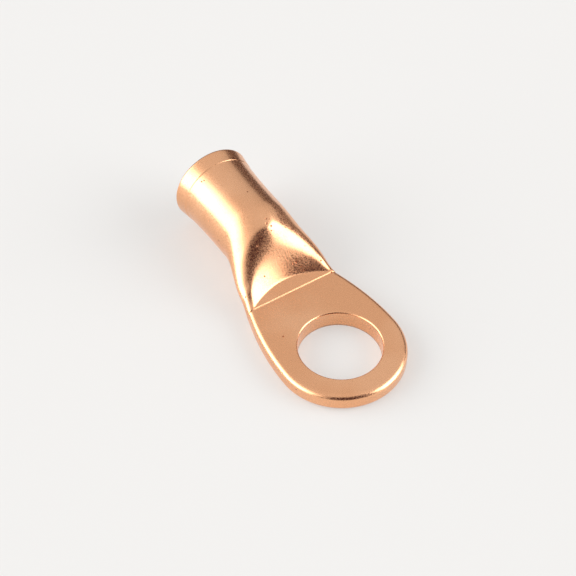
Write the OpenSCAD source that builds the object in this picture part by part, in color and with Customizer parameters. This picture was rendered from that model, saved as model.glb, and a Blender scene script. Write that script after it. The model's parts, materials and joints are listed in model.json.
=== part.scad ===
// Copper cable lug: a tube pressed flat at one end and pierced for a stud.
// The origin is the centre of the stud hole on the palm's underside.
// +X runs along the barrel to its mouth and +Z rises out of the palm.

/* [Palm] */
// Diameter of the stud hole
stud_hole_d = 10.5; // [6.4:0.1:11]
// Width of the palm across the stud hole
palm_w = 16.6; // [15:0.1:20]
// Distance from the stud hole's centre to the crease where the neck starts
palm_len = 10.5; // [9:0.05:14]
// How much the press thins the tube's two walls together
coining = 0.05; // [0:0.01:0.2]
// Radius on the palm's outer edges
palm_edge_r = 0.5; // [0.2:0.05:0.8]
// Radius on the stud hole's upper edge
hole_edge_r = 0.25; // [0.1:0.05:0.5]

/* [Neck] */
// Length of the neck, from the crease to the round barrel
neck_len = 8.9; // [7:0.05:12]
// Width of the neck at the crease
neck_w = 13.2; // [12:0.1:15]
// Width of the neck past the crease, where it stands up
waist_w = 12.7; // [11:0.1:14]
// Height of the neck's widest line where it leaves the crease
waist_h = 1.8; // [1.2:0.1:2.4]
// Height to which the neck's crown would reach at the crease, before the dish is pressed
crown_h = 7.6; // [6:0.1:9]
// Radius along the crown's peak
peak_r = 0.3; // [0.1:0.1:0.8]

/* [Dish] */
// Length of the dish's flat toe, past the crease at its middle
toe_len = 1.85; // [1:0.05:3]
// Width of the toe along the crease
toe_w = 11.3; // [9:0.1:12]
// Rise of the toe above the palm, in degrees
toe_angle = 12; // [4:1:18]
// Distance from the crease to the brow where the dish meets the crown
brow_len = 5.05; // [4:0.05:6.5]
// Height of the brow above the palm's underside
brow_h = 9.6; // [8:0.1:10]
// How far the dish's face bulges at its middle
bulge = 0.7; // [0:0.1:1.2]
// Softness of the ridges along the dish's sides
ridge_r = 1.6; // [0.4:0.1:2]

/* [Barrel] */
// Outer diameter of the barrel
barrel_d = 9.7; // [9:0.05:11]
// Thickness of the tube's wall
wall = 1.2; // [0.9:0.05:1.4]
// Length of the barrel, from the neck to the mouth
barrel_len = 10.6; // [9.5:0.1:20]

/* [Mouth] */
// How far the lip's foot stands out from the barrel
flare_h = 0.2; // [0.1:0.02:0.4]
// Length over which the barrel opens out to the lip's foot
flare_len = 5.6; // [3:0.1:7]
// How far the lip stands out from its foot
lip_h = 0.3; // [0.1:0.05:0.5]
// Length of the lip
lip_len = 1.35; // [0.8:0.05:2]
// Thickness of the wall left at the rim
rim_w = 0.85; // [0.5:0.05:1]
// Length of the funnel that leads the strands in
entry_len = 2.5; // [1.5:0.1:3]
// Radius on the rim's edges
rim_r = 0.3; // [0.1:0.05:0.4]

/* [Hidden] */
// The palm is the tube's two walls pressed together
palm_t = 2 * wall - coining;
palm_r = palm_w / 2;
barrel_r = barrel_d / 2;
bore_r = barrel_r - wall;
foot_r = barrel_r + flare_h;
mouth_r = foot_r + lip_h;
entry_r = mouth_r - rim_w;
rim_round = min(rim_r, 0.45 * rim_w);
neck_end = palm_len + neck_len;
mouth_x = neck_end + barrel_len;
foot_x = mouth_x - lip_len;
flare_x = foot_x - flare_len;
entry_x = mouth_x - entry_len;
// The palm's underside and the lip's lowest point lie in one plane
axis_z = mouth_r;

// The neck runs on into the barrel by this length, this much inside its surface
seat_len = 0.3;
seat_gap = 0.01;
neck_end_r = barrel_r - seat_gap;

// Over this length the palm's section turns into the neck's standing one
rise_len = 2.2;
// Share of the neck over which its full width is held
width_hold = 0.22;
// Share of the neck over which its crown is peaked
peak_hold = 0.55;
// Exponents of the neck's section, at its crown, sides and underside: 2 is round, less is peaked
peak_power = 1.1;
side_power = 1.65;
foot_power = 1.7;
// Powers of the neck's length with which its widest line, crown and underside climb to the barrel
waist_lag = 0.77;
crown_lag = 0.73;
foot_lag = 0.9;
// The folded sides of the neck are this much thicker than the wall
side_gain = 1.3;
// Share of the dish's height that a straight slope would give; the rest comes with this power
dish_share = 0.83;
dish_power = 5.7;
// Half width of the dish at which its bulge is measured
bulge_half = 4;
// The ridges reach their full softness over this length, and gain this share of it at the brow
ridge_run = 2.5;
brow_gain = 0.9;
// Cuts run on past faces by this much
past = 1;

// Points in a quarter of a section: up the side, round the edge, half across the face
side_steps = 1;
edge_steps = 4;
face_steps = 15;
quarter = side_steps + edge_steps + face_steps;
ring = 4 * quarter;
profile = side_steps + edge_steps;
// Steps along the neck, along the hollow inside it and round the palm's outline
neck_steps = 34;
core_steps = 14;
shoulder_steps = 8;
tip_steps = 32;
// Sections crowd towards the crease by this power
crowding = 1.2;
curve_steps = 8;
fine = 96;

function clamp(t) = min(max(t, 0), 1);
function smooth(t) = clamp(t) ^ 2 * (3 - 2 * clamp(t));
function mix(a, b, t) = a + (b - a) * t;

// The lower of a and b, blended where they are closer than r
function soft_min(a, b, r) =
    let (h = r > 0 ? clamp(0.5 + (b - a) / (2 * r)) : (b > a ? 1 : 0))
    mix(b, a, h) - r * h * (1 - h);

// A section's points run from the side over the top; the other quarters mirror the first
function fold(i) =
    let (k = (i + ring) % ring)
    k <= quarter ? k : k <= 2 * quarter ? 2 * quarter - k : k <= 3 * quarter ? k - 2 * quarter : ring - k;
function side_sign(i) = let (k = (i + ring) % ring) k > quarter && k < 3 * quarter ? -1 : 1;
function top_sign(i) = let (k = (i + ring) % ring) k > 2 * quarter ? -1 : 1;

// Angle round the palm's edge, share of the way up its side and share across its face
function edge_angle(q) = 90 * clamp((q - side_steps) / edge_steps);
function side_share(q) = clamp(q / side_steps);
function face_share(q) = 1 - clamp((q - profile) / face_steps);

// How far the palm's rounded edge lies inside its outline, and its height
function edge_inset(q) = palm_edge_r * (1 - cos(edge_angle(q)));
function edge_height(i) =
    let (q = fold(i), flat = palm_t / 2 - palm_edge_r)
    palm_t / 2 + top_sign(i) * (flat * side_share(q) + palm_edge_r * sin(edge_angle(q)));

// The palm's sides close in to the neck along a parabola
function palm_half(x) = mix(palm_r, neck_w / 2, (x / palm_len) ^ 2);

// The palm's section as it leaves the crease
function flat_point(i) =
    let (q = fold(i), half = neck_w / 2)
    [side_sign(i) * (half - palm_edge_r) * face_share(q)
        + side_sign(i) * (palm_edge_r - edge_inset(q)) * (q > profile ? 0 : 1),
     edge_height(i)];

// The neck's standing section: a peaked crown over a rounded foot, turning round at the barrel
function neck_share(x) = clamp((x - palm_len) / neck_len);
function neck_half(s) = mix(waist_w / 2, neck_end_r, smooth((s - width_hold) / (1 - width_hold)));
function waist_height(s, start) = mix(start, axis_z, smooth(s) ^ waist_lag);
function crown_height(s) = mix(crown_h, axis_z + neck_end_r, smooth(s) ^ crown_lag);
function foot_height(s) = mix(0, axis_z - neck_end_r, smooth(s) ^ foot_lag);

// Shares of a section's half width and height at point i, whose powers turn to a circle's
function turning(s) = smooth((s - peak_hold) / (1 - peak_hold));
function rounding(s, power) = 2 / mix(power, 2, turning(s));
function section_angle(i) = 90 * fold(i) / quarter;
function out_share(s, i) = cos(section_angle(i)) ^ rounding(s, top_sign(i) > 0 ? peak_power : foot_power);
function up_share(s, i) = sin(section_angle(i)) ^ rounding(s, top_sign(i) > 0 ? side_power : foot_power);

function standing_point(s, i) =
    let (
        waist = waist_height(s, waist_h),
        tip = top_sign(i) > 0 ? crown_height(s) : foot_height(s),
        z = mix(waist, tip, up_share(s, i)),
        cap = peak_r * (1 - turning(s))
    )
    [side_sign(i) * neck_half(s) * out_share(s, i), top_sign(i) > 0 ? soft_min(z, tip - cap, cap) : z];

// The toe ends on an arc; behind it the dish sweeps up to the brow
function toe_end(y) = palm_len + toe_len * (1 - (2 * y / toe_w) ^ 2);
function dish_run(x, y) = (x - toe_end(y)) / (palm_len + brow_len - toe_end(y));
function dish_height(x, y) =
    let (
        toe_z = palm_t + tan(toe_angle) * max(min(x, toe_end(y)) - palm_len, 0),
        run = max(dish_run(x, y), 0),
        climb = dish_share * run + (1 - dish_share) * run ^ dish_power
    )
    toe_z + (brow_h - toe_z) * climb - bulge * min(run, 1) * (y / bulge_half) ^ 2;

// How softly the dish and the crown blend along the ridges
function softness(x, y) =
    ridge_r * smooth((x - palm_len) / ridge_run) * (1 + brow_gain * clamp(dish_run(x, y)) ^ 2);

// The neck's outer section at x, cut by the dish
function neck_point(x, i) =
    let (p = mix(flat_point(i), standing_point(neck_share(x), i), smooth((x - palm_len) / rise_len)))
    [x, p[0], top_sign(i) > 0 ? soft_min(p[1], dish_height(x, p[0]), softness(x, p[0])) : p[1]];

// The hollow's section at x, one wall inside the neck
function core_point(x, i) =
    let (
        s = neck_share(x),
        side_wall = wall * mix(side_gain, 1, smooth(s)),
        y = side_sign(i) * (neck_half(s) - side_wall) * out_share(s, i),
        waist = waist_height(s, wall),
        up = up_share(s, i),
        under = x - wall * sin(45),
        roof = mix(waist, crown_height(s) - wall, up),
        lid = mix(waist, dish_height(under, y) - wall, up),
        base = mix(waist, foot_height(s) + wall, up)
    )
    [x, y, top_sign(i) > 0 ? soft_min(roof, lid, softness(under, y) * up) : base];

// The two triangles of a four-sided face
function split(a, b, c, d) = [[a, b, c], [a, c, d]];

function along(from, len, k, steps) = from + len * (k / steps) ^ crowding;

// Palm outline: from the crease down one shoulder, round the tip and back up the other
outline_steps = 2 * shoulder_steps + tip_steps;
function outline_point(j, inset) =
    j < shoulder_steps ? let (x = palm_len * (1 - j / shoulder_steps)) [x, palm_half(x) - inset]
    : j > shoulder_steps + tip_steps ? let (x = palm_len * (1 - (outline_steps - j) / shoulder_steps))
        [x, inset - palm_half(x)]
    : let (a = 90 + 180 * (j - shoulder_steps) / tip_steps) (palm_r - inset) * [cos(a), sin(a)];

// The pressed metal: the palm's edges and faces, and the neck, as one closed skin
module pressed_end() {
    neck_points = [
        for (k = [0 : neck_steps], i = [0 : ring - 1])
            neck_point(along(palm_len, neck_len, k, neck_steps), i),
        for (i = [0 : ring - 1]) neck_point(neck_end, i) + [seat_len, 0, 0]
    ];
    palm_points = [
        for (j = [1 : outline_steps - 1], i = [-profile : profile])
            let (p = outline_point(j, edge_inset(fold(i)))) [p[0], p[1], edge_height(i)]
    ];
    first_palm = len(neck_points);
    centre = first_palm + len(palm_points);
    function at(k, i) = k * ring + (i + ring) % ring;
    function wall_at(j, i) = j == 0 ? at(0, i) : j == outline_steps ? at(0, 2 * quarter - i)
        : first_palm + (j - 1) * (2 * profile + 1) + i + profile;
    polyhedron(
        points = concat(neck_points, palm_points, [[0, 0, palm_t], [0, 0, 0]]),
        faces = [
            for (k = [0 : neck_steps], i = [0 : ring - 1])
                each split(at(k, i), at(k + 1, i), at(k + 1, i + 1), at(k, i + 1)),
            for (j = [0 : outline_steps - 1], i = [-profile : profile - 1])
                each split(wall_at(j, i), wall_at(j, i + 1), wall_at(j + 1, i + 1), wall_at(j + 1, i)),
            for (j = [0 : outline_steps - 1])
                each [
                    [centre, wall_at(j + 1, profile), wall_at(j, profile)],
                    [centre + 1, wall_at(j, -profile), wall_at(j + 1, -profile)]
                ],
            for (i = [profile : 2 * quarter - profile - 1])
                each [[centre, at(0, i), at(0, i + 1)], [centre + 1, at(0, -i - 1), at(0, -i)]],
            [for (i = [ring - 1 : -1 : 0]) at(neck_steps + 1, i)]
        ]
    );
}

// The hollow inside the neck, narrowing to the slit where the walls meet
module neck_hollow() {
    start = palm_len + toe_len + wall * sin(45);
    points = [
        for (k = [0 : core_steps], i = [0 : ring - 1])
            core_point(start + (neck_end - start) * k / core_steps, i),
        for (i = [0 : ring - 1]) core_point(neck_end, i) + [seat_len, 0, 0]
    ];
    function at(k, i) = k * ring + (i + ring) % ring;
    polyhedron(
        points = points,
        faces = [
            for (i = [0 : 2 * quarter - 1])
                each split(at(0, -i), at(0, i), at(0, i + 1), at(0, -i - 1)),
            for (k = [0 : core_steps], i = [0 : ring - 1])
                each split(at(k, i), at(k + 1, i), at(k + 1, i + 1), at(k, i + 1)),
            [for (i = [ring - 1 : -1 : 0]) at(core_steps + 1, i)]
        ]
    );
}

// Turns a profile of [radius, x] points round the barrel's axis
module turned(points) {
    translate([0, 0, axis_z])
        rotate([0, 90, 0])
            rotate_extrude($fn = fine)
                polygon(points);
}

// Quarter-round of the rim, from angle a0 to a1 about a centre given as [radius, x]
function rim_arc(centre, a0, a1) = [
    for (k = [0 : curve_steps])
        let (a = mix(a0, a1, k / curve_steps)) centre + rim_round * [cos(a), sin(a)]
];

// The round barrel's outside, opening out to the lip
module barrel_skin() {
    turned(concat(
        [[0, neck_end], [barrel_r, neck_end]],
        [for (k = [0 : curve_steps])
            let (t = k / curve_steps)
                [barrel_r + flare_h * t ^ 2, flare_x + flare_len * t]],
        rim_arc([mouth_r - rim_round, mouth_x - rim_round], 0, 90),
        [[0, mouth_x]]
    ));
}

// The bore for the cable, with its funnel
module cable_bore() {
    turned(concat(
        [[0, neck_end], [bore_r, neck_end]],
        [for (k = [0 : curve_steps])
            let (t = k / curve_steps)
                [mix(bore_r, entry_r, t ^ 2), mix(entry_x, mouth_x - rim_round, t)]],
        rim_arc([entry_r + rim_round, mouth_x - rim_round], 180, 90),
        [[entry_r + rim_round, mouth_x + past], [0, mouth_x + past]]
    ));
}

// The stud hole, with its upper edge rounded
module stud_hole() {
    hole_r = stud_hole_d / 2;
    translate([0, 0, -past])
        cylinder(r = hole_r, h = palm_t + 2 * past, $fn = fine);
    rotate_extrude($fn = fine)
        polygon(concat(
            [for (k = [0 : curve_steps])
                let (a = 90 * k / curve_steps)
                    [hole_r + hole_edge_r * (1 - cos(a)), palm_t - hole_edge_r * (1 - sin(a))]],
            [[hole_r + hole_edge_r, palm_t + past], [0, palm_t + past], [0, palm_t - hole_edge_r]]
        ));
}

module lug() {
    color("peru")
        difference() {
            union() {
                pressed_end();
                barrel_skin();
            }
            neck_hollow();
            cable_bore();
            stud_hole();
        }
}

lug();
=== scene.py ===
import json
import math

import bmesh
import bpy
import numpy as np
from mathutils import Matrix, Vector


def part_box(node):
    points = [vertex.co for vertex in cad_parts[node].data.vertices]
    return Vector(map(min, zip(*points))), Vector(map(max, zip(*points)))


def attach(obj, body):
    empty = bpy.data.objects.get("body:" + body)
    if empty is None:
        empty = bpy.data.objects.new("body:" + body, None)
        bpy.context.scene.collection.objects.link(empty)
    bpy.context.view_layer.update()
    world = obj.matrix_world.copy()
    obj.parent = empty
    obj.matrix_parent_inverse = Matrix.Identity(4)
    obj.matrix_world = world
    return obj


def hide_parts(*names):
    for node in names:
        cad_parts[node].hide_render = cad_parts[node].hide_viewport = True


bl_info = {
    "name": "Copper cable lug",
    "version": (1, 0, 0),
    "blender": (4, 5, 0),
    "location": "3D View > Sidebar > Cable lug",
    "description": "Builds a pressed and flared copper cable lug, its finish and a plain studio",
    "category": "Mesh",
}

MM = 0.001
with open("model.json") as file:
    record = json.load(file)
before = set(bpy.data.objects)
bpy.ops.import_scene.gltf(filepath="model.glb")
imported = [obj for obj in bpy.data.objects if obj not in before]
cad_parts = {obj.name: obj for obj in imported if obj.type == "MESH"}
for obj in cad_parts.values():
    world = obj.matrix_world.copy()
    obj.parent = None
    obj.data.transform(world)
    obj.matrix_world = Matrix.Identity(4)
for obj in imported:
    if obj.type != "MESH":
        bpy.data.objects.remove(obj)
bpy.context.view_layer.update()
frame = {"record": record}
MOUNTS = {m["name"]: m for m in frame["record"]["mounts"]}
LUG_LOW, LUG_HIGH = (Vector(corner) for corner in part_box("lug"))


def dim(mount, key):
    """A mount's stated size, in metres."""
    return MOUNTS[mount]["dims"][key] * MM


def linear(hex_colour):
    """sRGB hex to linear RGBA, by the sRGB curve."""
    values = (int(hex_colour[i:i + 2], 16) / 255 for i in (1, 3, 5))
    return (*(v / 12.92 if v <= 0.04045 else ((v + 0.055) / 1.055) ** 2.4 for v in values), 1.0)


def length(name, description, default):
    """A size of the lug, in metres."""
    return bpy.props.FloatProperty(name=name, description=description, default=default,
                                   unit="LENGTH", precision=5)


def colour(name, description, hex_colour):
    """A colour of the lug or its studio."""
    return bpy.props.FloatVectorProperty(name=name, description=description, size=4, min=0.0, max=1.0,
                                         default=linear(hex_colour), subtype="COLOR")


class LugSizes(bpy.types.PropertyGroup):
    """Sizes of the pressed lug."""

    palm_w: length("Palm width", "Across the stud hole", LUG_HIGH.y - LUG_LOW.y)
    palm_t: length("Palm thickness", "Two walls pressed together", MOUNTS["washer_face"]["pos_m"][2])
    palm_len: length("Palm length", "Stud hole's centre to the crease", 10.5 * MM)
    palm_edge_r: length("Palm edge radius", "Round on the palm's outer edges", 0.75 * MM)
    hole_edge_r: length("Hole edge radius", "Round on the stud hole's upper edge", 0.25 * MM)
    neck_len: length("Neck length", "Crease to the round barrel", 8.9 * MM)
    neck_w: length("Neck width", "Across the neck at the crease", 13.2 * MM)
    waist_w: length("Waist width", "Across the neck where it stands up", 12.7 * MM)
    waist_h: length("Waist height", "Height of the neck's widest line at the crease", 1.8 * MM)
    crown_h: length("Crown height", "Height the crown would reach at the crease without the dish", 7.6 * MM)
    peak_r: length("Peak radius", "Round along the crown's peak", 0.3 * MM)
    toe_len: length("Toe length", "Crease to the toe's end at its middle", 1.85 * MM)
    toe_w: length("Toe width", "Width of the toe along the crease", 11.9 * MM)
    toe_step: length("Toe step", "Height of the step that the punch's edge left at the crease", 0.1 * MM)
    brow_len: length("Brow distance", "Crease to the brow of the dish", 5.05 * MM)
    brow_h: length("Brow height", "Height of the brow over the palm's underside", 9.6 * MM)
    bulge: length("Dish bulge", "How far the dish's face bulges at its middle", 0.7 * MM)
    ridge_r: length("Ridge softness", "Blend along the dish's ridges", 1.6 * MM)
    tube_d: length("Tube diameter", "Outside of the barrel", 9.7 * MM)
    flare_h: length("Flare height", "How far the lip's foot stands out from the barrel", 0.2 * MM)
    flare_len: length("Flare length", "Length over which the barrel opens out", 5.6 * MM)
    lip_len: length("Lip length", "Length of the lip", 2.15 * MM)
    lip_step: length("Lip step", "Height of the flaring tool's step at the lip's foot", 0.06 * MM)
    rim_w: length("Rim width", "Thickness of the wall left at the rim", 0.85 * MM)
    rim_r: length("Rim radius", "Round on the rim's edges", 0.3 * MM)
    entry_len: length("Funnel length", "Length of the funnel that leads the strands in", 2.5 * MM)


class LugFinish(bpy.types.PropertyGroup):
    """Colours of the metal and the studio."""

    copper: colour("Copper", "Bare annealed copper", "#FBBF92")
    copper_dark: colour("Copper, warm", "Copper in its warmer clouds", "#F4B485")
    pit: colour("Pits", "Oxide left in pits and rub marks", "#A8502C")
    floor: colour("Floor", "Matt white card", "#DEDEDD")
    backdrop: colour("Backdrop", "The card as it shows under full light", "#F4F3F1")
    dark: colour("Dark card", "Matt brown card beside the set", "#5E4A42")


# --- shaping functions -------------------------------------------------------------------------

def smooth(t):
    """S-curve: three t squared less two t cubed, held at 0 and 1 outside."""
    t = np.clip(t, 0.0, 1.0)
    return t * t * (3 - 2 * t)


def mix(a, b, t):
    """a at t = 0, b at t = 1."""
    return a + (b - a) * t


def soft_min(a, b, radius):
    """The lower of a and b, blended where they are closer than the radius."""
    h = np.clip(0.5 + (b - a) / (2 * np.maximum(radius, 1e-9)), 0.0, 1.0)
    return mix(b, a, h) - radius * h * (1 - h)


class Form:
    """The lug's sizes in millimetres, with those that follow from them."""

    RISE_LEN = 2.2        # the palm's section turns into the standing one over this length
    RISE_EASE = 0.6       # share of an S-curve in that turn; the rest starts at full rate
    WIDTH_HOLD = 0.22     # share of the neck over which its full width is held
    PEAK_HOLD = 0.55      # share of the neck over which its crown is peaked
    PEAK_POWER, SIDE_POWER, FOOT_POWER = 1.1, 1.65, 1.7    # section's powers: 2 is round, less is peaked
    WAIST_LAG, CROWN_LAG, FOOT_LAG = 0.77, 0.73, 0.9       # powers with which its heights climb
    TOE_SLOPE = math.tan(math.radians(12))
    DISH_SHARE, DISH_POWER = 0.83, 5.7    # straight share of the dish's climb, and the rest's power
    DISH_END = 1.5        # the dish's formula is carried on to this share of its run
    DISH_LEAN = math.radians(45)    # the bore's lid is set back behind the dish as for this slope
    BULGE_HALF = 4.0      # half width at which the dish's bulge is measured
    RIDGE_RUN = 2.8       # the ridges reach their full softness over this length
    BROW_GAIN = 0.9       # and gain this share of it at the brow
    SIDE_GAIN = 1.3       # at the crease the neck's folded sides are this many times the wall
    LIP_POWER = 1.2       # the lip opens out with this power of the way along it
    POLISH, POLISH_PASSES = 0.08, 160    # share of the full rounding away from the brow, and its passes
    CREASE_FADE = 1.2     # the rounding starts from nothing over this length behind the crease
    BROW_AT, BROW_BAND = 1.05, 0.3    # the brow's rounding: its middle and width as shares of the run
    FLANK_FADE = 0.4      # and it fades out over this share of the tube's radius at the flanks
    RUB_FADE = 0.3        # the dish's rub marks fade in, weaken and fade out over this share of its run
    RUB_LEAST = 0.3       # each weakening, up the run and towards +Y, leaves this share of them
    RUB_REACH, RUB_EDGE = 1.4, 0.4    # they end here, over this width, as shares of the toe's half width
    SIDE_STEPS, EDGE_STEPS, FACE_STEPS = 5, 9, 50
    NECK_STEPS, BARREL_STEPS, CURVE_STEPS, BORE_STEPS = 150, 40, 10, 16
    NECK_CROWD = 1.25     # crowds the neck's sections towards the crease
    SHOULDER_STEPS, TIP_STEPS, HOLE_STEPS, RADIAL_STEPS = 26, 96, 8, 24

    def __init__(self, sizes):
        for key in LugSizes.__annotations__:
            setattr(self, key, getattr(sizes, key) / MM)
        self.length_x = LUG_HIGH.x / MM
        self.tube_r = self.tube_d / 2
        self.palm_r = self.palm_w / 2
        self.foot_r = self.tube_r + self.flare_h
        self.mouth_r = LUG_HIGH.z / MM / 2
        self.bore_r = dim("cable_bore", "r_mm") / MM
        self.hole_r = dim("stud_hole", "r_mm") / MM
        self.entry_r = self.mouth_r - self.rim_w
        self.neck_end = self.palm_len + self.neck_len
        self.foot_x = self.length_x - self.lip_len
        self.flare_x = self.foot_x - self.flare_len
        self.entry_x = self.length_x - self.entry_len
        self.axis_z = self.mouth_r
        self.quarter = self.SIDE_STEPS + self.EDGE_STEPS + self.FACE_STEPS
        self.ring = 4 * self.quarter
        self.profile = self.SIDE_STEPS + self.EDGE_STEPS


def ring_shares(form):
    """For each point round a section: its sign along y and z, its angle from the side, and the palm
    profile's share up the side, angle round the edge and share across the face."""
    k = np.arange(form.ring)
    q = form.quarter
    fold = np.select([k <= q, k <= 2 * q, k <= 3 * q], [k, 2 * q - k, k - 2 * q], form.ring - k)
    side = np.where((k > q) & (k < 3 * q), -1.0, 1.0)
    top = np.where(k > 2 * q, -1.0, 1.0)
    up = np.clip(fold / form.SIDE_STEPS, 0, 1)
    edge = np.radians(90) * np.clip((fold - form.SIDE_STEPS) / form.EDGE_STEPS, 0, 1)
    across = 1 - np.clip((fold - form.profile) / form.FACE_STEPS, 0, 1)
    return side, top, np.radians(90) * fold / q, up, edge, across


def palm_section(form, half):
    """The palm's section of a given half width: a flat bar with quarter-round edges."""
    side, top, _, up, edge, across = ring_shares(form)
    r, h = form.palm_edge_r, form.palm_t / 2
    y = side * ((half - r) * across + r * np.cos(edge))
    y = np.where(across < 1, side * (half - r) * across, y)
    return y, h + top * ((h - r) * up + r * np.sin(edge))


def palm_half(form, x):
    """Half width of the palm between the hole's centre and the crease: a parabola."""
    return mix(form.palm_r, form.neck_w / 2, (x / form.palm_len) ** 2)


def dish_height(form, x, y):
    """Height of the pressed dish, and the run up it. The toe steps up at the crease and rises gently
    to an arc; behind the arc the dish climbs as a straight share plus a power of the run, less a
    bulge that grows with y squared."""
    toe_x = form.palm_len + form.toe_len * (1 - (2 * y / form.toe_w) ** 2)
    on_toe = np.maximum(np.minimum(x, toe_x) - form.palm_len, 0)
    toe_z = form.palm_t + form.TOE_SLOPE * on_toe + form.toe_step * smooth(on_toe / form.toe_step)
    run = (x - toe_x) / (form.palm_len + form.brow_len - toe_x)
    up = np.clip(run, 0, form.DISH_END)
    climb = form.DISH_SHARE * up + (1 - form.DISH_SHARE) * up ** form.DISH_POWER
    bulge = form.bulge * np.minimum(up, 1) * (y / form.BULGE_HALF) ** 2
    return toe_z + (form.brow_h - toe_z) * climb - bulge, run


def softness(form, x, y):
    """How softly the dish and the crown blend along the ridges: it grows from the crease and with
    the square of the run up the dish."""
    run = np.clip(dish_height(form, x, y)[1], 0, 1)
    return form.ridge_r * smooth((x - form.palm_len) / form.RIDGE_RUN) * (1 + form.BROW_GAIN * run ** 2)


def standing(form, x, waist_h):
    """The neck's section at each x: its half width, the heights of its waist, crown and foot, and
    each point's shares of them, cosine and sine to powers that turn to a circle's at the barrel."""
    _, top, angle, _, _, _ = ring_shares(form)
    s = np.clip((x - form.palm_len) / form.neck_len, 0, 1)
    turn = smooth((s - form.PEAK_HOLD) / (1 - form.PEAK_HOLD))
    half = mix(form.waist_w / 2, form.tube_r, smooth((s - form.WIDTH_HOLD) / (1 - form.WIDTH_HOLD)))
    waist = mix(waist_h, form.axis_z, smooth(s) ** form.WAIST_LAG)
    crown = mix(form.crown_h, form.axis_z + form.tube_r, smooth(s) ** form.CROWN_LAG)
    foot = mix(0, form.axis_z - form.tube_r, smooth(s) ** form.FOOT_LAG)
    out = np.abs(np.cos(angle)) ** (2 / mix(np.where(top > 0, form.PEAK_POWER, form.FOOT_POWER), 2, turn))
    up = np.abs(np.sin(angle)) ** (2 / mix(np.where(top > 0, form.SIDE_POWER, form.FOOT_POWER), 2, turn))
    return half, waist, crown, foot, out, up, turn


def neck_sections(form, x):
    """The neck's outside at each x: the palm's flat section turns into a peaked crown over a rounded
    foot, and the dish is cut from the crown with soft ridges."""
    side, top, _, _, _, _ = ring_shares(form)
    x = x[:, None]
    half, waist, crown, foot, out, up, turn = standing(form, x, form.waist_h)
    cap = form.peak_r * (1 - turn)
    y = side * half * out
    z = np.where(top > 0, soft_min(mix(waist, crown, up), crown - cap, cap), mix(waist, foot, up))
    flat_y, flat_z = palm_section(form, form.neck_w / 2)
    flat_z = flat_z + np.where(top > 0, form.toe_step * smooth((x - form.palm_len) / form.toe_step), 0)
    stand = np.clip((x - form.palm_len) / form.RISE_LEN, 0, 1)
    rise = mix(1 - (1 - stand) ** 2, smooth(stand), form.RISE_EASE)
    y, z = mix(flat_y, y, rise), mix(flat_z, z, rise)
    z = np.where(top > 0, soft_min(z, dish_height(form, x, y)[0], softness(form, x, y)), z)
    return np.stack([x + 0 * y, y, z], axis=-1)


def turned(form, x, radius):
    """Rings of the given radius at each x round the barrel's axis."""
    side, top, angle, _, _, _ = ring_shares(form)
    y = radius[:, None] * side * np.cos(angle)
    z = form.axis_z + radius[:, None] * top * np.sin(angle)
    return np.stack([x[:, None] + 0 * y, y, z], axis=-1)


def arc(centre, radius, start, end, steps):
    """Points [x, radius] on a circle between two angles in degrees, measured from the radius axis."""
    a = np.radians(np.linspace(start, end, steps + 1))
    return np.stack([centre[0] + radius * np.sin(a), centre[1] + radius * np.cos(a)], axis=-1)


def tube_profile(form):
    """[x, radius] along the barrel's outside, round the rim, down the funnel and along the bore."""
    t = np.linspace(0, 1, form.BARREL_STEPS + 1)[:, None]
    straight = np.hstack([mix(form.neck_end, form.flare_x, t), 0 * t + form.tube_r])
    flare = np.hstack([mix(form.flare_x, form.foot_x, t), form.tube_r + form.flare_h * t ** 2])
    step_len = 2 * form.lip_step
    foot = np.hstack([form.foot_x + step_len * t[::5], form.foot_r + form.lip_step * smooth(t[::5])])
    rim_x = form.length_x - form.rim_r
    cone = np.hstack([mix(form.foot_x + step_len, rim_x, t[::4]),
                      mix(form.foot_r + form.lip_step, form.mouth_r, t[::4] ** form.LIP_POWER)])
    outer = arc((rim_x, form.mouth_r - form.rim_r), form.rim_r, 0, 90, form.CURVE_STEPS)
    inner = arc((rim_x, form.entry_r + form.rim_r), form.rim_r, 90, 180, form.CURVE_STEPS)
    b = np.linspace(0, 1, form.BORE_STEPS + 1)[:, None]
    funnel = np.hstack([mix(rim_x, form.entry_x, b), mix(form.bore_r, form.entry_r, (1 - b) ** 2)])
    bore = np.hstack([mix(form.entry_x, form.neck_end, b), 0 * b + form.bore_r])
    parts = [straight[1::2], flare[1:], foot[1:], cone[1:-1], outer, inner, funnel[1:], bore[1:]]
    return np.vstack(parts)


def hollow_sections(form):
    """The blind end of the bore: the neck's sections one wall further in, narrowing to the slit where
    the walls meet. The folded sides are thicker than the wall."""
    side, top, _, _, _, _ = ring_shares(form)
    wall = form.tube_r - form.bore_r
    lean = wall * math.sin(form.DISH_LEAN)
    x = np.linspace(form.neck_end, form.palm_len + form.toe_len + lean, form.BORE_STEPS + 1)[1:, None]
    half, waist, crown, foot, out, up, _ = standing(form, x, wall)
    y = side * (half - wall * mix(form.SIDE_GAIN, 1, smooth((x - form.palm_len) / form.neck_len))) * out
    lid = dish_height(form, x - lean, y)[0] - wall
    roof = soft_min(mix(waist, crown - wall, up), mix(waist, lid, up), softness(form, x - lean, y) * up)
    return np.stack([x + 0 * y, y, np.where(top > 0, roof, mix(waist, foot + wall, up))], axis=-1)


def outline(form, inset):
    """The palm's outline from the crease round the tip and back, inset by a given amount: two
    parabolic shoulders and a half circle."""
    x = np.linspace(form.palm_len, 0, form.SHOULDER_STEPS, endpoint=False)
    shoulder = np.stack([x, palm_half(form, x) - inset], axis=-1)
    a = np.radians(np.linspace(90, 270, form.TIP_STEPS + 1))
    tip = (form.palm_r - inset) * np.stack([np.cos(a), np.sin(a)], axis=-1)
    return np.vstack([shoulder, tip, (shoulder * [1, -1])[::-1]])


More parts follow.
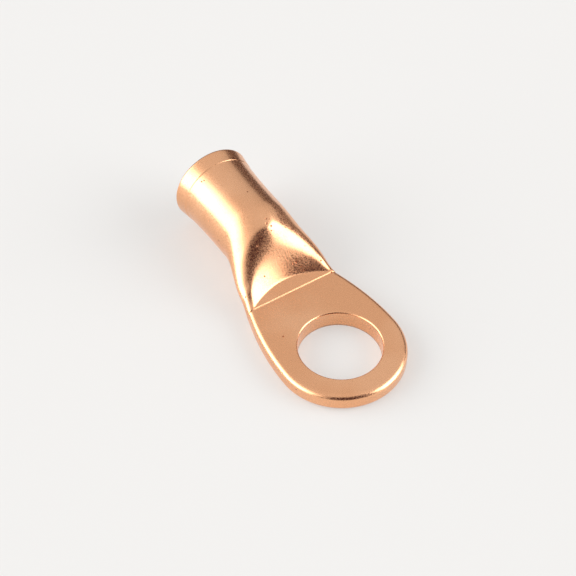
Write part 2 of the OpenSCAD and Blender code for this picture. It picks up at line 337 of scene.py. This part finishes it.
def palm_patches(form, crease):
    """The palm's edge, upper face, underside and hole wall, as grids that share their borders."""
    _, top, _, up, edge, _ = ring_shares(form)
    rows = np.arange(-form.profile, form.profile + 1)
    r, h = form.palm_edge_r, form.palm_t / 2
    heights = h + np.sign(rows) * ((h - r) * up[rows] + r * np.sin(edge[rows]))
    wall = np.stack([
        np.column_stack([outline(form, r * (1 - math.cos(edge[i]))), np.full(len(outline(form, 0)), z)])
        for i, z in zip(rows, heights)
    ], axis=1)
    face = slice(form.profile, 2 * form.quarter - form.profile + 1)
    above = np.vstack([wall[:, -1], crease[face][::-1][1:-1]])
    below = np.vstack([wall[:, 0], (crease[face][::-1][1:-1]) * [1, 1, 0]])
    b = np.radians(np.linspace(0, 90, form.CURVE_STEPS + 1))
    hole_round = [(form.hole_r + form.hole_edge_r * (1 - math.cos(a)),
                   form.palm_t - form.hole_edge_r * (1 - math.sin(a))) for a in b]
    around = above[:, :2] / np.linalg.norm(above[:, :2], axis=1)[:, None]
    depth = np.linspace(0, form.palm_t - form.hole_edge_r, form.HOLE_STEPS + 1)[:-1]
    hole = [(form.hole_r, z) for z in depth] + hole_round
    bore = np.stack([np.column_stack([around * radius, np.full(len(around), z)])
                     for radius, z in hole], axis=1)
    t = np.linspace(0, 1, form.RADIAL_STEPS + 1)[None, :, None]
    upper = mix(bore[:, -1][:, None], above[:, None], t)
    lower = mix(below[:, None], bore[:, 0][:, None], t)
    return wall, upper, lower, bore


def grid_faces(rows, cols, start, wrap_rows=False, wrap_cols=False):
    """Quads over a grid of points numbered row by row from start."""
    i = np.arange(rows if wrap_rows else rows - 1)[:, None]
    j = np.arange(cols if wrap_cols else cols - 1)[None]
    i2, j2 = (i + 1) % rows, (j + 1) % cols
    quads = [i * cols + j, i2 * cols + j, i2 * cols + j2, i * cols + j2]
    return start + np.stack([q.ravel() for q in np.broadcast_arrays(*quads)], axis=-1)


def relax(points, keep, passes):
    """Rounds a grid that closes on itself across its columns: each pass moves a point half way to
    the mean of its four neighbours, by as much as keep allows."""
    for _ in range(passes):
        near = np.roll(points, 1, axis=1) + np.roll(points, -1, axis=1)
        near[1:-1] += points[:-2] + points[2:]
        points[1:-1] += (near[1:-1] / 4 - points[1:-1]) * 0.5 * keep[1:-1]
    return points


def pressed_share(form, neck):
    """How much the punch rubbed each point of the neck: most low on the dish and on its half
    towards -Y, fading out over the toe, the brow and the ridges."""
    _, top, _, _, _, _ = ring_shares(form)
    x, y, _ = np.moveaxis(neck, -1, 0)
    run = dish_height(form, x, y)[1]
    climb = smooth(run / form.RUB_FADE) * smooth((1 + form.RUB_FADE - run) / form.RUB_FADE)
    climb = climb * mix(1, form.RUB_LEAST, smooth((run - form.RUB_FADE) / form.RUB_FADE))
    lean = mix(form.RUB_LEAST, 1, smooth(0.5 - y / form.BULGE_HALF))
    reach = smooth((form.RUB_REACH - np.abs(2 * y / form.toe_w)) / form.RUB_EDGE)
    return np.where(top > 0, climb * lean * reach, 0)


def polish(form, neck):
    """How much a relaxing pass rounds each point of the neck: little over most of it, nothing at the
    crease, and fully in a band along the brow."""
    _, top, _, _, _, _ = ring_shares(form)
    x, y, _ = np.moveaxis(neck, -1, 0)
    run = dish_height(form, x, y)[1]
    brow = np.where(top > 0, np.exp(-((run - form.BROW_AT) / form.BROW_BAND) ** 2), 0)
    brow = brow * smooth((1 - np.abs(y) / form.tube_r) / form.FLANK_FADE)
    return (smooth((x - form.palm_len) / form.CREASE_FADE) * mix(form.POLISH, 1, brow))[..., None]


def lug_mesh(form):
    """The whole skin of the lug as one closed mesh."""
    t = np.linspace(0, 1, form.NECK_STEPS + 1)
    x = form.palm_len + form.neck_len * t ** form.NECK_CROWD
    neck = neck_sections(form, x)
    crease = neck[0].copy()
    neck = relax(neck, polish(form, neck), form.POLISH_PASSES)
    profile = tube_profile(form)
    body = np.concatenate([neck, turned(form, profile[:, 0], profile[:, 1]), hollow_sections(form)])
    patches = [(body, False, True)]
    wall, upper, lower, bore = palm_patches(form, crease)
    patches += [(wall, False, False), (upper, True, False), (lower, True, False), (bore, True, False)]
    points, faces, count = [], [], 0
    for grid, wrap_rows, wrap_cols in patches:
        faces.append(grid_faces(grid.shape[0], grid.shape[1], count, wrap_rows, wrap_cols))
        points.append(grid.reshape(-1, 3))
        count += len(points[-1])
    pressed = np.zeros(count)
    pressed[:neck[..., 0].size] = pressed_share(form, neck).ravel()
    # The slit at the bore's blind end is closed by strips across it, with a triangle at either side
    last = (len(body) - 1) * form.ring
    i = np.arange(1, 2 * form.quarter - 1)
    faces.append(last + np.stack([i, i + 1, form.ring - i - 1, form.ring - i], axis=-1))
    side = 2 * form.quarter
    ends = [[last, last + 1, last + form.ring - 1], [last + side, last + side + 1, last + side - 1]]
    return np.vstack(points) * MM, np.vstack(faces).tolist() + ends, pressed


def new_mesh(name, points, faces, shares=None):
    """A mesh object from arrays, with named values from 0 to 1 at its points."""
    mesh = bpy.data.meshes.new(name)
    mesh.from_pydata(points.tolist(), [], faces)
    for key, values in (shares or {}).items():
        mesh.attributes.new(key, "FLOAT", "POINT").data.foreach_set("value", values)
    obj = bpy.data.objects.new(name, mesh)
    bpy.context.scene.collection.objects.link(obj)
    return obj


def weld(obj, distance):
    """Merges doubled points, turns the faces outwards and counts the edges that are left open."""
    bm = bmesh.new()
    bm.from_mesh(obj.data)
    bmesh.ops.remove_doubles(bm, verts=bm.verts, dist=distance)
    bmesh.ops.dissolve_degenerate(bm, edges=bm.edges, dist=distance)
    bmesh.ops.recalc_face_normals(bm, faces=bm.faces)
    open_edges = sum(not e.is_manifold for e in bm.edges)
    bm.to_mesh(obj.data)
    bm.free()
    obj.data.shade_smooth()
    return open_edges


# --- materials ---------------------------------------------------------------------------------

def add(tree, kind, settings=None, links=None):
    """Adds one node, sets its fields and inputs, and links outputs into its inputs."""
    node = tree.nodes.new(kind)
    for key, value in (settings or {}).items():
        if isinstance(key, str) and hasattr(node, key):
            setattr(node, key, value)
        else:
            node.inputs[key].default_value = value
    for key, source in (links or {}).items():
        tree.links.new(source, node.inputs[key])
    return node


def fresh_tree(holder):
    """A material's or world's node tree, emptied."""
    holder.use_nodes = True
    holder.node_tree.nodes.clear()
    return holder.node_tree


# Dents and specks at known places: their centres and radii, in millimetres
MARKS = (
    ((21.86, -0.51, 10.17), 0.12),    # on the barrel
    ((10.5, -5.9, 2.4), 0.16),        # at the crease's end
    ((27.2, 3.0, 9.35), 0.12),        # by the lip
    ((27.05, 2.7, 9.5), 0.12),
    ((16.5, 0.1, 9.4), 0.16),         # on the brow
    ((17.0, -0.2, 9.65), 0.13),
    ((16.1, -0.3, 9.1), 0.16),
)


def stretched(tree, place, along, across):
    """Object coordinates scaled for a pattern that is long along X and fine across it."""
    scale = (1 / along, 1 / across, 1 / along)
    scaled = add(tree, "ShaderNodeVectorMath", {"operation": "MULTIPLY", 1: scale}, {0: place})
    return scaled.outputs["Vector"]


def tumbled_copper(finish):
    """Annealed copper tube, drawn, pressed and tumbled bright: glossy, slightly cloudy, with faint
    lines along the draw, and rub marks with small pits where the punch pressed it. A rough clear
    coat adds a faint white sheen, which pales the copper round its highlights."""
    material = bpy.data.materials.new("tumbled_copper")
    tree = fresh_tree(material)
    place = add(tree, "ShaderNodeTexCoord").outputs["Object"]
    pressed = add(tree, "ShaderNodeAttribute", {"attribute_name": "pressed"}).outputs["Fac"]
    # Clouds 9 mm across, of slightly warmer copper
    cloud = add(tree, "ShaderNodeTexNoise", {"Scale": 1 / (9 * MM), "Detail": 2.0}, {"Vector": place})
    cloud = add(tree, "ShaderNodeMapRange", {"From Min": 0.4, "From Max": 0.6},
                {"Value": cloud.outputs["Fac"]})
    tint = add(tree, "ShaderNodeMix", {"data_type": "RGBA", 6: finish.copper, 7: finish.copper_dark},
               {0: cloud.outputs["Result"]})
    # Draw lines: 0.15 mm apart and 8 mm long
    lines = add(tree, "ShaderNodeTexNoise", {"Scale": 1.0, "Detail": 2.0},
                {"Vector": stretched(tree, place, 8 * MM, 0.15 * MM)})
    # Tumbling grain, 0.1 mm: shinier and duller specks side by side, which gives highlights a soft haze
    grain = add(tree, "ShaderNodeTexNoise", {"Scale": 1 / (0.1 * MM), "Detail": 3.0}, {"Vector": place})
    rough = add(tree, "ShaderNodeMapRange",
                {"From Min": 0.42, "From Max": 0.58, "To Min": 0.15, "To Max": 0.38},
                {"Value": grain.outputs["Fac"]})
    # Rub marks: 0.2 mm apart and 1.2 mm long, reddened where they are strongest
    rubs = add(tree, "ShaderNodeTexNoise", {"Scale": 1.0, "Detail": 3.0},
               {"Vector": stretched(tree, place, 1.2 * MM, 0.2 * MM)})
    rubbed = add(tree, "ShaderNodeMath", {"operation": "MULTIPLY"}, {0: rubs.outputs["Fac"], 1: pressed})
    streak = add(tree, "ShaderNodeMapRange", {"From Min": 0.45, "From Max": 0.7, "To Max": 0.7},
                 {"Value": rubbed.outputs["Value"]})
    tint = add(tree, "ShaderNodeMix", {"data_type": "RGBA", 7: finish.pit},
               {0: streak.outputs["Result"], 6: tint.outputs[2]})
    # Pits: about 0.2 mm across, few on the drawn tube, more where the punch pressed it
    cells = add(tree, "ShaderNodeTexVoronoi", {"Scale": 1 / (0.45 * MM)}, {"Vector": place})
    chance = add(tree, "ShaderNodeSeparateColor", None, {"Color": cells.outputs["Color"]})
    few = add(tree, "ShaderNodeMapRange", {"To Min": 0.99, "To Max": 0.75}, {"Value": pressed})
    chosen = add(tree, "ShaderNodeMath", {"operation": "GREATER_THAN"},
                 {0: chance.outputs["Red"], 1: few.outputs["Result"]})
    pit = add(tree, "ShaderNodeMapRange", {"From Min": 0.3, "From Max": 0.15},
              {"Value": cells.outputs["Distance"], "To Max": chosen.outputs["Value"]})
    for spot, radius in MARKS:
        gap = add(tree, "ShaderNodeVectorMath", {"operation": "DISTANCE", 1: Vector(spot) * MM}, {0: place})
        near = add(tree, "ShaderNodeMapRange", {"From Min": radius * MM, "From Max": radius / 2 * MM},
                   {"Value": gap.outputs["Value"]})
        pit = add(tree, "ShaderNodeMath", {"operation": "MAXIMUM"},
                  {0: pit.outputs[0], 1: near.outputs["Result"]})
    tint = add(tree, "ShaderNodeMix", {"data_type": "RGBA", 7: finish.pit},
               {0: pit.outputs[0], 6: tint.outputs[2]})
    fine = add(tree, "ShaderNodeBump", {"Strength": 0.25, "Distance": 0.004 * MM},
               {"Height": lines.outputs["Fac"]})
    fine = add(tree, "ShaderNodeBump", {"Strength": 0.08, "Distance": 0.004 * MM},
               {"Height": grain.outputs["Fac"], "Normal": fine.outputs["Normal"]})
    fine = add(tree, "ShaderNodeBump", {"Strength": 1.0, "Distance": 0.018 * MM},
               {"Height": rubbed.outputs["Value"], "Normal": fine.outputs["Normal"]})
    fine = add(tree, "ShaderNodeBump", {"Strength": 1.0, "Distance": 0.03 * MM, "invert": True},
               {"Height": pit.outputs[0], "Normal": fine.outputs["Normal"]})
    shader = add(tree, "ShaderNodeBsdfPrincipled",
                 {"Metallic": 1.0, "Coat Weight": 0.45, "Coat Roughness": 0.5},
                 {"Base Color": tint.outputs[2], "Roughness": rough.outputs["Result"],
                  "Normal": fine.outputs["Normal"]})
    add(tree, "ShaderNodeOutputMaterial", None, {"Surface": shader.outputs["BSDF"]})
    return material


def matt_card(name, tone):
    """Studio card: fully rough and without shine. It still lacks its output."""
    material = bpy.data.materials.new(name)
    tree = fresh_tree(material)
    card = add(tree, "ShaderNodeBsdfPrincipled",
               {"Base Color": tone, "Roughness": 1.0, "Specular IOR Level": 0.0})
    return material, tree, card


EVEN_SHARE = 0.42     # how much of the white card is seen in its own even tone, without shadows


def white_card(finish):
    """The floor's matt white card. Part of what is seen of it is an even tone, so that the lug's
    shadows and glow stay faint on it."""
    material, tree, card = matt_card("white_card", finish.floor)
    path = add(tree, "ShaderNodeLightPath")
    seen = add(tree, "ShaderNodeMath", {"operation": "ADD"},
               {0: path.outputs["Is Camera Ray"], 1: path.outputs["Is Glossy Ray"]})
    share = add(tree, "ShaderNodeMath", {"operation": "MULTIPLY", 1: EVEN_SHARE}, {0: seen.outputs["Value"]})
    even = add(tree, "ShaderNodeEmission", {"Color": finish.backdrop, "Strength": 1.0})
    both = add(tree, "ShaderNodeMixShader", None,
               {0: share.outputs["Value"], 1: card.outputs["BSDF"], 2: even.outputs["Emission"]})
    add(tree, "ShaderNodeOutputMaterial", None, {"Surface": both.outputs["Shader"]})
    return material


def brown_card(finish):
    """Dark matt card that gives the metal its dark reflections."""
    material, tree, card = matt_card("brown_card", finish.dark)
    add(tree, "ShaderNodeOutputMaterial", None, {"Surface": card.outputs["BSDF"]})
    return material


def panel(tree, ray, below, azimuth, elevation, half_width, half_height, soft, level):
    """A flat soft-edged panel of light in the sky over what is below. It faces the lug from a
    direction, and reaches by the tangents of its half angles."""
    swung = add(tree, "ShaderNodeVectorRotate",
                {"rotation_type": "Z_AXIS", "Angle": -math.radians(azimuth)}, {"Vector": ray})
    facing = add(tree, "ShaderNodeVectorRotate",
                 {"rotation_type": "Y_AXIS", "Angle": math.radians(elevation)},
                 {"Vector": swung.outputs["Vector"]})
    split = add(tree, "ShaderNodeSeparateXYZ", None, {"Vector": facing.outputs["Vector"]})
    ahead = add(tree, "ShaderNodeMath", {"operation": "MAXIMUM", 1: 0.01}, {0: split.outputs["X"]})
    mask = None
    for axis, half in (("Y", half_width), ("Z", half_height)):
        across = add(tree, "ShaderNodeMath", {"operation": "DIVIDE"},
                     {0: split.outputs[axis], 1: ahead.outputs["Value"]})
        size = add(tree, "ShaderNodeMath", {"operation": "ABSOLUTE"}, {0: across.outputs["Value"]})
        limits = {"interpolation_type": "SMOOTHSTEP", "From Min": half + soft, "From Max": half - soft}
        sources = {"Value": size.outputs["Value"]}
        if mask is not None:
            sources["To Max"] = mask
        mask = add(tree, "ShaderNodeMapRange", limits, sources).outputs["Result"]
    return add(tree, "ShaderNodeMix", {"data_type": "RGBA", 7: (*level, 1)}, {0: mask, 6: below}).outputs[2]


# What stands round the set, each over the one before: azimuth and elevation in degrees, half width,
# half height and the edge's softness as tangents, and level in red, green and blue
PANELS = (
    (176, 21, 0.88, 0.69, 0.08, (0.05, 0.004, 0.0)),    # the dark round the camera
    (66, 18, 1.1, 0.75, 0.35, (1.25, 1.22, 1.18)),      # spill round the left light
    (64, 16, 0.7, 0.46, 0.32, (4.6, 4.6, 4.6)),         # left light
    (-131, 23, 0.44, 0.42, 0.19, (4.4, 4.4, 4.4)),      # right light
)


def studio_world(finish):
    """A plain studio seen from inside: a grey ceiling over a dim brown horizon, with the panels on
    it. Seen directly by the camera it is plain backdrop."""
    world = bpy.data.worlds.new("studio")
    bpy.context.scene.world = world
    tree = fresh_tree(world)
    ray = add(tree, "ShaderNodeTexCoord").outputs["Generated"]
    split = add(tree, "ShaderNodeSeparateXYZ", None, {"Vector": ray})
    room = add(tree, "ShaderNodeValToRGB", None, {"Fac": split.outputs["Z"]})
    ramp = room.color_ramp
    ramp.interpolation = "EASE"
    ramp.elements[0].position, ramp.elements[0].color = 0.12, (0.1, 0.06, 0.045, 1)
    ramp.elements[1].position, ramp.elements[1].color = 0.34, (0.62, 0.605, 0.59, 1)
    top = ramp.elements.new(0.95)
    top.color = (0.74, 0.72, 0.71, 1)
    light = room.outputs["Color"]
    for where in PANELS:
        light = panel(tree, ray, light, *where)
    path = add(tree, "ShaderNodeLightPath")
    seen = add(tree, "ShaderNodeMix", {"data_type": "RGBA", 7: finish.backdrop},
               {0: path.outputs["Is Camera Ray"], 6: light})
    background = add(tree, "ShaderNodeBackground", {"Strength": 1.0}, {"Color": seen.outputs[2]})
    add(tree, "ShaderNodeOutputWorld", None, {"Surface": background.outputs["Background"]})


# --- operators ---------------------------------------------------------------------------------

class LUG_OT_lug(bpy.types.Operator):
    """Builds the pressed lug in place of its plain solid"""

    bl_idname = "lug.lug"
    bl_label = "Lug"

    def execute(self, context):
        form = Form(context.scene.lug_sizes)
        points, faces, pressed = lug_mesh(form)
        obj = new_mesh("pressed_lug", points, faces, {"pressed": pressed})
        if weld(obj, 1e-4 * MM):
            raise RuntimeError("the lug's skin has open edges")
        obj.data.materials.append(tumbled_copper(context.scene.lug_finish))
        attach(obj, "root")
        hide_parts("lug")
        return {"FINISHED"}


class LUG_OT_studio(bpy.types.Operator):
    """Adds the floor, the light and the camera"""

    bl_idname = "lug.studio"
    bl_label = "Studio"

    AZIMUTH, ELEVATION, ROLL = -124.37, 48.25, 1.27
    DISTANCE = 220 * MM
    LENS, SENSOR = 107.7, 36
    TARGET = Vector((13.0 * MM, -0.96 * MM, 0))
    NEAREST = 10 * MM
    FLOOR_HALF = 600 * MM
    CARD_R, CARD_H = 65 * MM, 29 * MM
    CARD_START, CARD_END, CARD_POINTS = -95, 20, 24    # its ends, in degrees from +X, and points

    def execute(self, context):
        finish = context.scene.lug_finish
        square = np.array([[-1, -1, 0], [1, -1, 0], [1, 1, 0], [-1, 1, 0]])
        floor = new_mesh("floor", self.FLOOR_HALF * square, [[0, 1, 2, 3]])
        floor.data.materials.append(white_card(finish))
        self.dark_card(finish)
        studio_world(finish)
        self.add_camera(context)
        context.scene.view_settings.view_transform = "Standard"
        return {"FINISHED"}

    def add_camera(self, context):
        """Sets the camera at its distance from the target, rolled about its line of sight."""
        back = self.back()
        right = Vector((math.cos(math.radians(self.AZIMUTH)), math.sin(math.radians(self.AZIMUTH)), 0))
        turn = Matrix.Rotation(math.radians(self.ROLL), 3, back)
        right = turn @ right
        up = back.cross(right)
        data = bpy.data.cameras.new("camera")
        data.lens, data.sensor_width = self.LENS, self.SENSOR
        data.clip_start = self.NEAREST
        camera = bpy.data.objects.new("camera", data)
        context.scene.collection.objects.link(camera)
        rotation = Matrix((right, up, back)).transposed().to_4x4()
        camera.matrix_world = Matrix.Translation(self.TARGET + back * self.DISTANCE) @ rotation
        context.scene.camera = camera

    def dark_card(self, finish):
        """A low dark card that stands in an arc behind the lug, at a radius round the origin. Only
        the metal's reflections see it."""
        a = np.radians(np.linspace(self.CARD_START, self.CARD_END, self.CARD_POINTS))
        foot = np.column_stack([self.CARD_R * np.cos(a), self.CARD_R * np.sin(a), 0 * a])
        card = new_mesh("dark_card", np.vstack([foot, foot + [0, 0, self.CARD_H]]),
                        grid_faces(2, len(a), 0).tolist())
        card.data.materials.append(brown_card(finish))
        card.visible_camera = card.visible_diffuse = card.visible_shadow = False

    def back(self):
        """Direction from the object to the camera."""
        a, e = math.radians(self.AZIMUTH), math.radians(self.ELEVATION)
        return Vector((math.sin(a) * math.cos(e), -math.cos(a) * math.cos(e), math.sin(e)))


OPERATORS = (LUG_OT_lug, LUG_OT_studio)


class LUG_PT_panel(bpy.types.Panel):
    """Lists the lug's operators and settings"""

    bl_idname = "LUG_PT_panel"
    bl_label = "Cable lug"
    bl_space_type = "VIEW_3D"
    bl_region_type = "UI"
    bl_category = "Cable lug"

    def draw(self, context):
        for group in (context.scene.lug_sizes, context.scene.lug_finish):
            for key in group.__annotations__:
                self.layout.prop(group, key)
        for operator in OPERATORS:
            self.layout.operator(operator.bl_idname)


CLASSES = (LugSizes, LugFinish, *OPERATORS, LUG_PT_panel)


def register():
    for cls in CLASSES:
        bpy.utils.register_class(cls)
    bpy.types.Scene.lug_sizes = bpy.props.PointerProperty(type=LugSizes)
    bpy.types.Scene.lug_finish = bpy.props.PointerProperty(type=LugFinish)


def unregister():
    del bpy.types.Scene.lug_finish
    del bpy.types.Scene.lug_sizes
    for cls in reversed(CLASSES):
        bpy.utils.unregister_class(cls)


def main():
    register()
    bpy.ops.lug.studio()
    bpy.ops.lug.lug()


if __name__ == "__main__":
    main()
